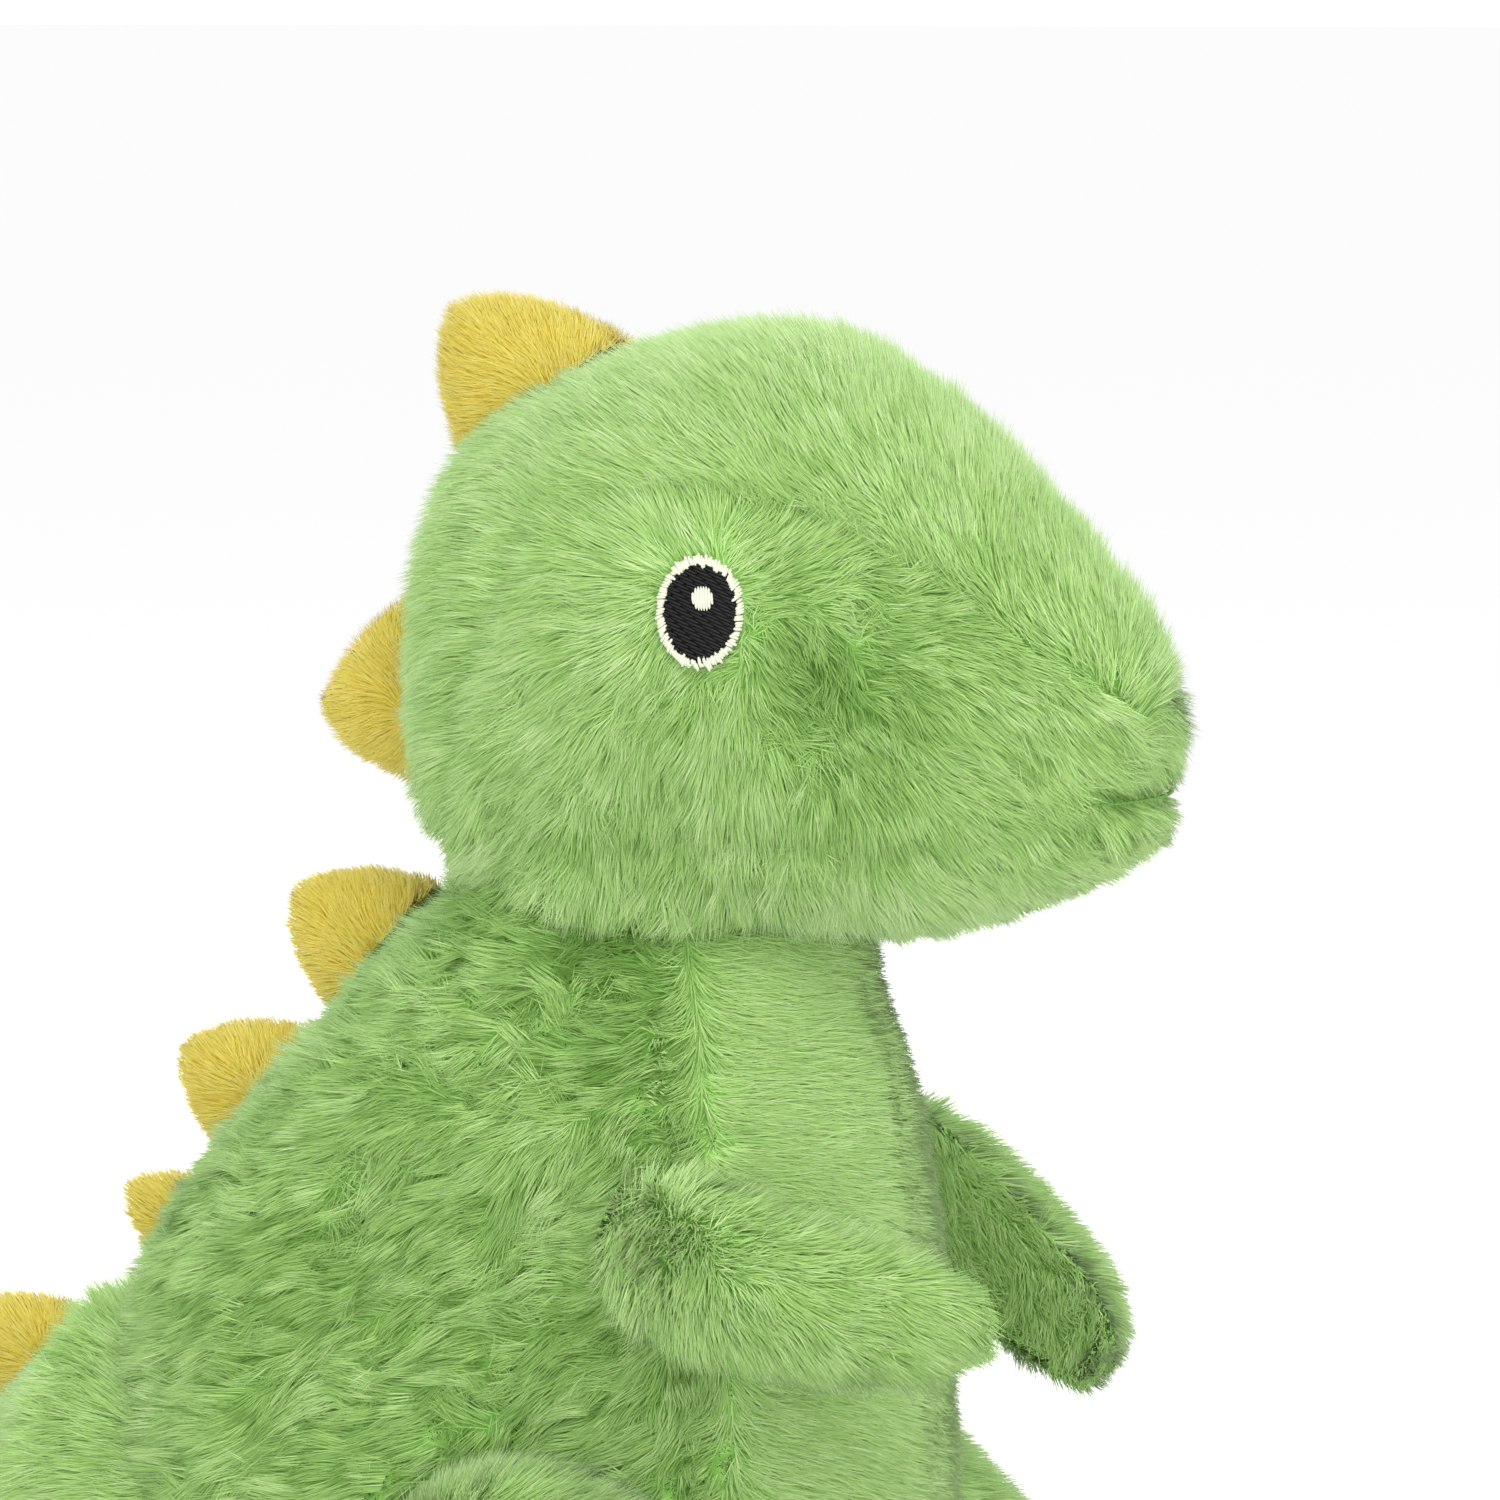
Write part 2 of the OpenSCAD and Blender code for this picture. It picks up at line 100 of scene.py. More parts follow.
def woven_material(name, dark, light, thread=0.6, roughness=0.9):
    """Knitted backing: crossed threads in two shades, with a fine bump."""
    mat = plain_material(name, light, roughness)
    tree = mat.node_tree
    bsdf = tree.nodes["Principled BSDF"]
    coord = tree.nodes.new("ShaderNodeTexCoord")
    waves = []
    for direction in ("X", "Z"):
        wave = tree.nodes.new("ShaderNodeTexWave")
        wave.bands_direction = direction
        wave.inputs["Scale"].default_value = 1 / (thread * MM * 20)
        wave.inputs["Distortion"].default_value = 1.5
        tree.links.new(coord.outputs["Object"], wave.inputs["Vector"])
        waves.append(wave)
    weave = tree.nodes.new("ShaderNodeMath")
    weave.operation = "MULTIPLY"
    tree.links.new(waves[0].outputs["Fac"], weave.inputs[0])
    tree.links.new(waves[1].outputs["Fac"], weave.inputs[1])
    cloud = tree.nodes.new("ShaderNodeTexNoise")
    cloud.inputs["Scale"].default_value = 90
    tree.links.new(coord.outputs["Object"], cloud.inputs["Vector"])
    blend = tree.nodes.new("ShaderNodeMath")
    blend.operation = "MULTIPLY_ADD"
    blend.inputs[1].default_value = 0.6
    tree.links.new(cloud.outputs["Fac"], blend.inputs[0])
    tree.links.new(weave.outputs[0], blend.inputs[2])
    ramp = tree.nodes.new("ShaderNodeValToRGB")
    ramp.color_ramp.elements[0].color = (*dark, 1)
    ramp.color_ramp.elements[1].color = (*light, 1)
    tree.links.new(blend.outputs[0], ramp.inputs["Fac"])
    tree.links.new(ramp.outputs["Color"], bsdf.inputs["Base Color"])
    bump = tree.nodes.new("ShaderNodeBump")
    bump.inputs["Strength"].default_value = 0.4
    bump.inputs["Distance"].default_value = 0.2 * MM
    tree.links.new(weave.outputs[0], bump.inputs["Height"])
    tree.links.new(bump.outputs["Normal"], bsdf.inputs["Normal"])
    return mat


def shades(name, dark, middle, light, **finish):
    """Plain materials from shadow through middle to light, for the wisps of one pile."""
    made = []
    for i in range(SHADES):
        f = i / (SHADES - 1)
        a, b, k = (dark, middle, f * 2) if f < 0.5 else (middle, light, f * 2 - 1)
        color = tuple(x + (y - x) * k for x, y in zip(a, b))
        made.append(plain_material(f"{name}_{i}", color, **finish))
    return made


GREEN = shades("green_pile", srgb(116, 164, 72), srgb(174, 216, 126), srgb(222, 246, 184), sheen=0.15)
YELLOW = shades("yellow_pile", srgb(206, 182, 62), srgb(230, 212, 92), srgb(246, 234, 142), sheen=0.15)
GREEN_BACKING = woven_material("green_backing", srgb(110, 160, 68), srgb(150, 200, 104))
YELLOW_BACKING = woven_material("yellow_backing", srgb(196, 164, 44), srgb(222, 196, 74))


# ---- Meshes ----
def mesh_object(name, verts, faces, mats, smooth=True):
    mesh = bpy.data.meshes.new(name)
    mesh.from_pydata([tuple(v) for v in verts], [], faces)
    mesh.polygons.foreach_set("use_smooth", [smooth] * len(mesh.polygons))
    for mat in mats:
        mesh.materials.append(mat)
    obj = bpy.data.objects.new(name, mesh)
    bpy.context.scene.collection.objects.link(obj)
    return obj


def apply_modifiers(obj):
    depsgraph = bpy.context.evaluated_depsgraph_get()
    mesh = bpy.data.meshes.new_from_object(obj.evaluated_get(depsgraph))
    obj.modifiers.clear()
    obj.data = mesh


def coords(mesh):
    co = np.empty(len(mesh.vertices) * 3)
    mesh.vertices.foreach_get("co", co)
    return co.reshape(-1, 3)


def vertex_normals(mesh):
    no = np.empty(len(mesh.vertices) * 3)
    mesh.vertices.foreach_get("normal", no)
    return no.reshape(-1, 3)


def set_coords(mesh, co):
    mesh.vertices.foreach_set("co", np.ascontiguousarray(co, dtype=float).ravel())
    mesh.update()


def unit(v):
    return v / np.maximum(np.linalg.norm(v, axis=-1, keepdims=True), 1e-12)


def keep_outer_shell(obj):
    """Deletes every loose part but the one with the most vertices, which is the outside."""
    mesh = obj.data
    parent = np.arange(len(mesh.vertices))
    edges = np.empty(len(mesh.edges) * 2, dtype=int)
    mesh.edges.foreach_get("vertices", edges)
    edges = edges.reshape(-1, 2)
    while True:
        low = np.minimum(parent[edges[:, 0]], parent[edges[:, 1]])
        before = parent.copy()
        np.minimum.at(parent, edges[:, 0], low)
        np.minimum.at(parent, edges[:, 1], low)
        parent = parent[parent]
        if (parent == before).all():
            break
    labels, counts = np.unique(parent, return_counts=True)
    drop = parent != labels[counts.argmax()]
    if drop.any():
        bm = bmesh.new()
        bm.from_mesh(mesh)
        bm.verts.ensure_lookup_table()
        bmesh.ops.delete(bm, geom=[bm.verts[i] for i in np.nonzero(drop)[0]], context="VERTS")
        bm.to_mesh(mesh)
        bm.free()


def rings_mesh(rings):
    """(vertices, faces) of a closed stack of rings, each an (n, 3) array."""
    n = len(rings[0])
    verts = np.concatenate(rings + [rings[0].mean(0)[None], rings[-1].mean(0)[None]])
    faces = []
    for i in range(len(rings) - 1):
        for j in range(n):
            k = (j + 1) % n
            faces.append((i * n + j, i * n + k, (i + 1) * n + k, (i + 1) * n + j))
    first, last = len(verts) - 2, len(verts) - 1
    top = (len(rings) - 1) * n
    for j in range(n):
        k = (j + 1) % n
        faces.append((first, k, j))
        faces.append((last, top + j, top + k))
    return verts, faces


def joined_skin(name, nodes, extra=(), inset=INSET, voxel=VOXEL, smooth=6, mats=()):
    """One closed skin round the named CAD nodes and extra (vertices, faces) solids."""
    verts, faces, base = [], [], 0
    for node in nodes:
        mesh = NODES[node].data
        co = coords(mesh)
        verts.append(co)
        faces += [tuple(base + i for i in p.vertices) for p in mesh.polygons]
        base += len(co)
    for co, extra_faces in extra:
        verts.append(co)
        faces += [tuple(base + i for i in f) for f in extra_faces]
        base += len(co)
    obj = mesh_object(name, np.concatenate(verts), faces, mats)
    remesh = obj.modifiers.new("join", "REMESH")
    remesh.mode = "VOXEL"
    remesh.voxel_size = voxel * MM
    remesh.use_smooth_shade = True
    soften = obj.modifiers.new("soften", "SMOOTH")
    soften.factor = 0.6
    soften.iterations = smooth
    apply_modifiers(obj)
    keep_outer_shell(obj)
    mesh = obj.data
    mesh.materials.clear()
    for mat in mats:
        mesh.materials.append(mat)
    set_coords(mesh, coords(mesh) - vertex_normals(mesh) * inset * MM)
    relax = obj.modifiers.new("relax", "SMOOTH")
    relax.factor = 0.5
    relax.iterations = 3
    apply_modifiers(obj)
    return obj


# ---- Pile ----
def wobble(points, size, seed, waves=5):
    """Smooth noise from -1 to 1 at points in metres, with features of about size millimetres."""
    rng = np.random.default_rng(seed)
    total = np.zeros(len(points))
    for _ in range(waves):
        k = unit(rng.normal(size=3)) * 2 * math.pi / (size * MM * rng.uniform(0.7, 1.5))
        total += np.sin(points @ k + rng.uniform(0, 2 * math.pi))
    return total / waves * 1.4


def triangles(mesh):
    mesh.calc_loop_triangles()
    tris = np.empty(len(mesh.loop_triangles) * 3, dtype=int)
    mesh.loop_triangles.foreach_get("vertices", tris)
    return tris.reshape(-1, 3)


def scatter(skin, density, seed, values):
    """Points spread evenly over a mesh, with their normals and values interpolated from it.

    values holds a row of numbers for each vertex.
    """
    mesh = skin.data
    tris = triangles(mesh)
    co, no = coords(mesh), vertex_normals(mesh)
    a, b, c = co[tris[:, 0]], co[tris[:, 1]], co[tris[:, 2]]
    area = np.linalg.norm(np.cross(b - a, c - a), axis=1) / 2
    rng = np.random.default_rng(seed)
    count = int(area.sum() / MM**2 * density)
    t = tris[np.sort(rng.choice(len(tris), size=count, p=area / area.sum()))]
    u, v = rng.random((2, count))
    flip = u + v > 1
    u[flip], v[flip] = 1 - u[flip], 1 - v[flip]
    weights = np.stack([1 - u - v, u, v], axis=1)[:, :, None]
    points = (co[t] * weights).sum(1)
    normals = unit((no[t] * weights).sum(1))
    return points, normals, (values[t] * weights).sum(1), rng


def tuft_of(points, seed, size=TUFT_SIZE):
    """Number of the tuft that each point belongs to."""
    warp = np.stack([wobble(points, 9, seed + i) for i in range(3)], axis=1) * 1.8 * MM
    cell = np.floor((points + warp) / (size * MM)).astype(np.int64)
    _, tuft = np.unique(cell[:, 0] * 73856093 ^ cell[:, 1] * 19349663 ^ cell[:, 2] * 83492791,
                        return_inverse=True)
    return tuft


def tuft_mean(values, tuft):
    counts = np.bincount(tuft)
    return np.stack([np.bincount(tuft, values[:, i]) / counts for i in range(3)], axis=1)[tuft]


def grow_pile(name, skin, comb, mats, length=PILE, density=DENSITY, seed=1, lift=0.66, keep=None,
              ruffle=0.5, gather=0.3, seam=None, zone=None, shade=None, trim=None,
              width=WISP_WIDTH):
    """Tapered wisps of pile on a skin, in pieces of at most PIECE_WISPS.

    comb(points, normals, zone) gives the direction that the pile lies in. Of the functions of
    points, keep says which grow any, ruffle how disordered they are, shade the painted light and
    shade added to the pile's tone and trim the share of the length that is cut off. lift is how
    upright the pile is, and gather how far the tips of a tuft draw together. seam and zone hold 0
    to 1 for each vertex of the skin: seam is 1 on a seam or fold, where the pile is shorter and
    darkened with painted shade, and zone is 1 where the comb is told that the pile lies another way.
    """
    blank = np.zeros(len(skin.data.vertices))
    values = np.stack([blank if seam is None else seam, blank if zone is None else zone], axis=1)
    p, n, values, rng = scatter(skin, density, seed, values)
    if keep is not None:
        held = keep(p)
        p, n, values = p[held], n[held], values[held]
    on_seam, in_zone = values.T
    count = len(p)
    rough = (ruffle(p) if callable(ruffle) else np.full(count, ruffle))
    d = comb(p, n, in_zone[:, None])
    swirl = np.stack([wobble(p, 18, seed + 20 + i) + 0.6 * wobble(p, 7, seed + 30 + i)
                      for i in range(3)], axis=1)
    tuft = tuft_of(p, seed + 50)
    tufts = tuft.max() + 1
    tuft_lean = rng.normal(size=(tufts, 3))[tuft]
    d = d + (swirl * 0.8 + tuft_lean * 0.35) * rough[:, None] + rng.normal(size=(count, 3)) * 0.17
    d = unit(d - n * (d * n).sum(1, keepdims=True))
    tuft_tone = rng.normal(size=tufts).clip(-2, 2)[tuft]
    reach = length * MM * (1 + 0.06 * tuft_tone * rough - 0.2 * on_seam
                           + rng.uniform(-0.28, 0.1, count))
    if trim is not None:
        reach *= 1 - trim(p)
    rise = lift(p) if callable(lift) else lift
    rise = rise + (0.1 * tuft_tone + 0.14 * wobble(p, 12, seed + 40)) * rough
    rise = (rise + rng.normal(size=count) * 0.08 + 0.1 * on_seam).clip(0.2, 0.94)
    tip = p + (n * rise[:, None] + d * np.sqrt(1 - rise**2)[:, None]) * reach[:, None]
    tip += (tuft_mean(tip, tuft) - tip) * (gather * rough * rng.uniform(0.4, 1.2, count))[:, None]
    tip[:, 2] = np.maximum(tip[:, 2], TIP_CLEARANCE * MM)
    tone = (0.34 * tuft_tone + 0.3 * wobble(p, 22, seed + 60)) * rough + rng.normal(size=count) * 0.38
    # Painted shade: the pile is darker along seams and in folds
    tone -= 0.5 * on_seam
    if shade is not None:
        tone += shade(p)
    level = np.clip(np.round((0.5 + 0.35 * tone) * (SHADES - 1)), 0, SHADES - 1).astype(int)
    thick = width * MM / 2 * rng.uniform(0.7, 1.3, count)
    pieces = []
    for start in range(0, count, PIECE_WISPS):
        part = slice(start, min(start + PIECE_WISPS, count))
        label = f"{name}_{start // PIECE_WISPS + 1}" if count > PIECE_WISPS else name
        pieces.append(needles(label, p[part], tip[part], n[part], thick[part], level[part], mats))
    return pieces


def needles(name, root, tip, normal, thick, level, mats):
    """One mesh of three-sided tapered wisps."""
    count = len(root)
    along = unit(tip - root)
    side = unit(np.cross(along, normal))
    down = np.cross(along, side)
    verts = np.empty((count, 4, 3))
    soft = np.empty((count, 4, 3))
    start = root - along * 0.5 * MM
    for k in range(3):
        a = 2 * math.pi * k / 3 - math.pi / 2
        out = side * math.cos(a) + down * math.sin(a)
        verts[:, k] = start + out * thick[:, None]
        soft[:, k] = normal * 0.75 + out * 0.5
    verts[:, 3] = tip
    soft[:, 3] = normal * 0.85 + along * 0.3
    mesh = bpy.data.meshes.new(name)
    mesh.vertices.add(count * 4)
    mesh.vertices.foreach_set("co", verts.ravel())
    base = np.arange(count)[:, None] * 4
    mesh.loops.add(count * 9)
    mesh.loops.foreach_set("vertex_index", (base + np.array([0, 1, 3, 1, 2, 3, 2, 0, 3])).ravel())
    mesh.polygons.add(count * 3)
    mesh.polygons.foreach_set("loop_start", np.arange(count * 3) * 3)
    mesh.polygons.foreach_set("material_index", np.repeat(level, 3))
    mesh.polygons.foreach_set("use_smooth", np.ones(count * 3, dtype=bool))
    for mat in mats:
        mesh.materials.append(mat)
    mesh.update()
    mesh.validate()
    mesh.normals_split_custom_set_from_vertices(unit(soft).reshape(-1, 3))
    obj = bpy.data.objects.new(name, mesh)
    bpy.context.scene.collection.objects.link(obj)
    return obj


def lying(points, normals, direction):
    """direction laid flat on the surface at each point."""
    d = np.broadcast_to(np.asarray(direction, dtype=float), points.shape)
    return unit(d - normals * (d * normals).sum(1, keepdims=True))


# ---- Seams ----
def panel_gaps(skin, panels):
    """Distance in millimetres from each vertex of a skin to each of the CAD panels it covers."""
    trees = []
    for node in panels:
        mesh = NODES[node].data
        trees.append(BVHTree.FromPolygons([v.co[:] for v in mesh.vertices],
                                          [p.vertices[:] for p in mesh.polygons]))
    surface = coords(skin.data) + vertex_normals(skin.data) * INSET * MM
    return np.array([[tree.find_nearest(q)[3] / MM for tree in trees] for q in surface.tolist()])


def seam_values(gaps, width):
    """1 on a line where two panels meet, falling to 0 over width mm."""
    nearest = np.sort(gaps, axis=1)
    return np.exp(-((nearest[:, 1] - nearest[:, 0]) / width) ** 2)


def line_values(points, line, width):
    """1 on a polyline, falling to 0 over width metres."""
    line = np.asarray(line)
    a, b = line[:-1], line[1:]
    rel = points[:, None] - a[None]
    f = ((rel * (b - a)).sum(2) / ((b - a) ** 2).sum(1)).clip(0, 1)
    gap = np.linalg.norm(rel - f[:, :, None] * (b - a)[None], axis=2).min(1)
    return np.exp(-((gap / width) ** 2))


def press_in(skin, values, depth):
    """Moves the skin inwards by depth mm where values is 1."""
    mesh = skin.data
    set_coords(mesh, coords(mesh) - vertex_normals(mesh) * (values * depth * MM)[:, None])


# ---- Head ----
HEAD_NODES = ["head_gusset", "head_side_right", "head_side_left", "head_chin_panel", "head_stuffing"]
head_lo = np.min([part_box(n)[0] for n in HEAD_NODES], axis=0)
head_hi = np.max([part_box(n)[1] for n in HEAD_NODES], axis=0)
head_size = head_hi - head_lo
neck_lo, neck_hi = (np.array(v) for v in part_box("neck_sleeve"))
neck_at = (neck_lo + neck_hi) / 2
neck_at[2] = frame["record"]["behaviour"]["joints"][0]["pos_m"][2]


def socket_plug():
    """Fills the neck hollow of the CAD head, which the skin closes over.

    Rows: height, half length and half width, in millimetres.
    """
    rings = []
    a = np.linspace(0, 2 * math.pi, 36, endpoint=False)
    for z, along, across in ((144.5, 26, 26), (146, 30, 31), (150, 33, 35), (160, 33, 38), (174, 31, 37)):
        ring = [14 + along * np.cos(a), across * np.sin(a), np.full(36, z)]
        rings.append(np.stack(ring, axis=1) * MM)
    return rings_mesh(rings)


head_skin = joined_skin("head_skin", HEAD_NODES, [socket_plug()], mats=[GREEN_BACKING])
PANELS = ["head_gusset", "head_side_right", "head_side_left", "head_chin_panel"]
mouth_lo, mouth_hi = (np.array(v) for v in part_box("mouth_stitch"))


def eye_frame(side):
    """(centre, across, up, outward) of the flat embroidered oval on one cheek."""
    co = coords(NODES[f"eye_border_{side}"].data)
    _, _, axes = np.linalg.svd(co - co.mean(0), full_matrices=False)
    outward = axes[2] * np.sign(axes[2][1]) * dict(SIDES)[side]
    up = axes[0] * np.sign(axes[0][2])
    across = np.cross(up, outward)
    lo, hi = co.min(0), co.max(0)
    return (lo + hi) / 2, across, up, outward


def mouth_line():
    """The mouth, on the arc of the CAD thread and a little outside it."""
    half = (mouth_hi[1] - mouth_lo[1]) / 2 - 1 * MM
    depth = mouth_hi[0] - mouth_lo[0] - 2 * MM
    radius = (half**2 + depth**2) / (2 * depth)
    middle = mouth_hi[0] - 1 * MM - radius
    z = (mouth_lo[2] + mouth_hi[2]) / 2
    turn = math.asin(half / radius)
    radius += 1.5 * MM
    return [(middle + radius * math.cos(a), radius * math.sin(a), z)
            for a in np.linspace(-turn, turn, 25)]


def cheek_folds():
    """The soft fold in front of each eye, from the brow down to the cheek."""
    lines = []
    for side, sign in SIDES:
        centre = eye_frame(side)[0]
        lines.append([centre + np.array([dx, -sign * dy, dz]) * MM
                      for dx, dy, dz in ((8, 2, 14), (10, 1, 7), (11, 1, 0), (15, 2, -10))])
    return lines


def near(p, centre, size):
    """1 at a point in millimetres (on either side), falling to 0 over size millimetres."""
    mirrored = np.stack([p[:, 0], -np.abs(p[:, 1]), p[:, 2]], axis=1)
    return np.exp(-(np.linalg.norm(mirrored - np.array(centre) * MM, axis=1) / (size * MM)) ** 2)


head_gaps = panel_gaps(head_skin, PANELS)
head_seam = seam_values(head_gaps, 2.2)
on_gusset = np.clip(0.5 + (head_gaps[:, 1:].min(axis=1) - head_gaps[:, 0]) / 4, 0, 1)
head_co = coords(head_skin.data)
head_no = vertex_normals(head_skin.data)
head_surface = head_co + head_no * INSET * MM
mouth_fold = line_values(head_surface, mouth_line(), 2.6 * MM)
cheek_fold = np.max([line_values(head_surface, line, 5 * MM) for line in cheek_folds()], axis=0)
press_in(head_skin, head_seam, 0.9)
press_in(head_skin, mouth_fold, 3.0)
press_in(head_skin, cheek_fold, 1.8)
# Strength of the seams and folds, where the pile is shorter and darkened with painted shade
head_folds = np.clip(head_seam * 0.5 + mouth_fold * 1.1 + cheek_fold * 0.6, 0, 1.2)


# Rough patch beside the snout, where the pile is also darkened with painted shade
SNOUT_PATCH = (56, -36, 185)


def head_comb(p, n, zone):
    """Back along the gusset, away from the eyes on the cheeks, and forward on the snout."""
    ahead = np.clip((p[:, :1] - 0.048) / 0.03, 0, 1)
    centre = np.where(p[:, 1:2] < 0, eye_frame("right")[0], eye_frame("left")[0])
    around = unit(p - centre) + np.array([0, 0, -0.35])
    side = around * (1 - ahead) + np.array([0.8, 0, -0.6]) * ahead
    behind = np.clip(0.3 - p[:, :1] / 0.03, 0, 1)
    back = np.array([-0.9, 0, 0.4]) * (1 - behind) + np.array([-0.5, 0, -0.9]) * behind
    return lying(p, n, side * (1 - zone) + back * zone)


def eye_gap(p):
    """Distance of points from the nearer embroidered oval, as a share of its size less 1."""
    gap = np.full(len(p), 9.0)
    for side, _ in SIDES:
        centre, across, up, outward = eye_frame(side)
        rel = p - centre
        oval = np.hypot(rel @ across / EYE_HALF[0], rel @ up / EYE_HALF[1]) - 1
        gap = np.minimum(gap, np.where(np.abs(rel @ outward) < 0.012, oval, 9.0))
    return gap


def off_eyes(p):
    return eye_gap(p) > -0.06


def round_eyes(p):
    """The pile is trimmed short next to the embroidery."""
    return 0.45 * np.exp(-((eye_gap(p).clip(0, 9) / 0.3) ** 2))


def head_ruffle(p):
    """Smooth over the crown, and rougher on the cheeks, the jaw and beside the snout."""
    f = (p[:, 2] - head_lo[2]) / head_size[2]
    return 0.35 + 0.45 * np.clip(1.15 - f * 1.2, 0, 1) + 0.4 * near(p, SNOUT_PATCH, 13)


def head_lift(p):
    f = (p[:, 0] - head_lo[0]) / head_size[0]
    return 0.64 - 0.2 * np.clip((f - 0.82) / 0.18, 0, 1) + 0.2 * near(p, SNOUT_PATCH, 13)


def head_painted_light(p):
    # Painted light and shade: lighter over the crown and along the head's lower edge, where light falls,
    # and painted shade in the patch beside the snout
    low = np.clip((0.165 - p[:, 2]) / 0.02, 0, 1)
    return 0.3 * np.clip((p[:, 2] - 0.2) / 0.03, 0, 1) + 0.3 * low - 0.9 * near(p, SNOUT_PATCH, 13)


head_pile = grow_pile("head_pile", head_skin, head_comb, GREEN, seed=11, keep=off_eyes,
                      ruffle=head_ruffle, lift=head_lift, shade=head_painted_light, trim=round_eyes,
                      seam=head_folds, zone=on_gusset)
for piece in [head_skin, *head_pile]:
    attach(piece, "head")
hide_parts(*HEAD_NODES)


# ---- Embroidery ----
WHITE_THREAD = plain_material("white_thread", srgb(208, 210, 190), 0.6, specular=0.3)
BLACK_THREAD = plain_material("black_thread", srgb(9, 9, 8), 0.5, specular=0.3)
# The mouth's thread is real, but coloured the dark green of the shade in its crease: painted shade
GREEN_THREAD = plain_material("green_thread", srgb(96, 142, 58), 0.6)


def stitches(name, starts, ends, outward, mats, width=0.5, arch=0.35, sides=6):
    """Threads laid as short arched stitches from starts to ends, each an (n, 3) array."""
    count = len(starts)
    along = ends - starts
    across = unit(np.cross(along, outward))
    steps = np.array([0, 0.12, 0.5, 0.88, 1])
    fat = np.array([0.35, 0.85, 1, 0.85, 0.35])
    rings = []
    for t, k in zip(steps, fat):
        middle = starts + along * t + outward * (arch * MM * math.sin(math.pi * t))
        ring = [middle + (across * math.cos(a) + outward * math.sin(a) * 0.7) * width / 2 * MM * k
                for a in np.linspace(0, 2 * math.pi, sides, endpoint=False)]
        rings.append(np.stack(ring, axis=1))
    verts = np.stack(rings, axis=1).reshape(-1, 3)
    faces = []
    for i in range(count):
        base = i * len(steps) * sides
        for r in range(len(steps) - 1):
            for j in range(sides):
                k = (j + 1) % sides
                faces.append((base + r * sides + j, base + r * sides + k,
                              base + (r + 1) * sides + k, base + (r + 1) * sides + j))
        faces.append(tuple(base + j for j in range(sides))[::-1])
        faces.append(tuple(base + (len(steps) - 1) * sides + j for j in range(sides)))
    obj = mesh_object(name, verts, faces, mats)
    return obj


def embroidery_base(name, at):
    """Padded black ground under the stitches of an eye, down to the backing."""
    a = np.linspace(0, 2 * math.pi, 48, endpoint=False)
    rings = [at(EYE_HALF[0] * k * np.cos(a), EYE_HALF[1] * k * np.sin(a), z)
             for k, z in ((0.9, -2.5), (0.97, -0.45), (0.8, -0.2), (0.4, -0.15))]
    return mesh_object(name, *rings_mesh(rings), [BLACK_THREAD])


def slanted_rows(half, lean=math.radians(24)):
    """Start and end points, in the flat of an eye, of the stitches that fill an oval."""
    rows = []
    row_gap, length = STITCH_ROW * MM, STITCH_LENGTH * MM
    for row in np.arange(-half[1] * 1.15, half[1] * 1.15, row_gap):
        for k in range(-3, 4):
            shift = (row / row_gap % 3) / 3 * length
            x0, x1 = k * length + shift, (k + 1) * length + shift - 0.15 * MM
            inside = []
            for x in np.linspace(x0, x1, 9):
                px = x * math.cos(lean) - row * math.sin(lean)
                pz = x * math.sin(lean) + row * math.cos(lean)
                if (px / half[0]) ** 2 + (pz / half[1]) ** 2 < 1:
                    inside.append((px, pz))
            if len(inside) > 2:
                rows.append((inside[0], inside[-1]))
    return np.array(rows)


def embroider_eye(side):
    """Satin border, slanted black fill and a small white glint, in raised thread."""
    centre, across, up, outward = eye_frame(side)
    rng = np.random.default_rng(71)
    flip = dict(SIDES)[side]
    cheek = BVHTree.FromObject(head_skin, bpy.context.evaluated_depsgraph_get())

    def at(x, z, level=0):
        """Points on the curved cheek, from flat places in an eye."""
        flat = centre + across * (np.asarray(x) * flip)[..., None] + up * np.asarray(z)[..., None]
        start = flat + outward * 0.02
        depth = np.array([cheek.ray_cast(Vector(q), Vector(-outward))[3] for q in start])
        return start - outward * (depth - (STITCH_LEVEL + level) * MM)[:, None]

    a = np.linspace(0, 2 * math.pi, 104, endpoint=False) + rng.normal(size=104) * 0.008
    outer = 1.02 + rng.normal(size=104) * 0.025
    inner = 0.83 + rng.normal(size=104) * 0.035 - 0.02 * np.sin(a)
    border = stitches(f"eye_border_thread_{side}",
                      at(EYE_HALF[0] * outer * np.cos(a), EYE_HALF[1] * outer * np.sin(a)),
                      at(EYE_HALF[0] * inner * np.cos(a + 0.06), EYE_HALF[1] * inner * np.sin(a + 0.06)),
                      outward, [WHITE_THREAD], width=0.5, arch=0.35)
    rows = slanted_rows(EYE_HALF * 0.89)
    fill = stitches(f"eye_black_thread_{side}", at(rows[:, 0, 0], rows[:, 0, 1]),
                    at(rows[:, 1, 0], rows[:, 1, 1]), outward, [BLACK_THREAD], width=0.44, arch=0.22)
    base = embroidery_base(f"eye_base_{side}", at)
    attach(base, "head")
    x = np.linspace(-1.35, 1.35, 8) * MM
    rise = np.clip(1 - (x / (1.6 * MM)) ** 4, 0, 1) * 1.75 * MM
    spot = np.array([-0.6, 1.9]) * MM
    glint = stitches(f"eye_glint_thread_{side}", at(spot[0] + x, spot[1] - rise, 0.3),
                     at(spot[0] + x + 0.2 * MM, spot[1] + rise, 0.3), outward,
                     [WHITE_THREAD], width=0.46, arch=0.25)
    for piece, part, slot in ((border, "border", "white_thread"), (fill, "black", "black_thread"),
                              (glint, "glint", "white_thread")):
        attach(piece, "head")
        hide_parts(f"eye_{part}_{side}")


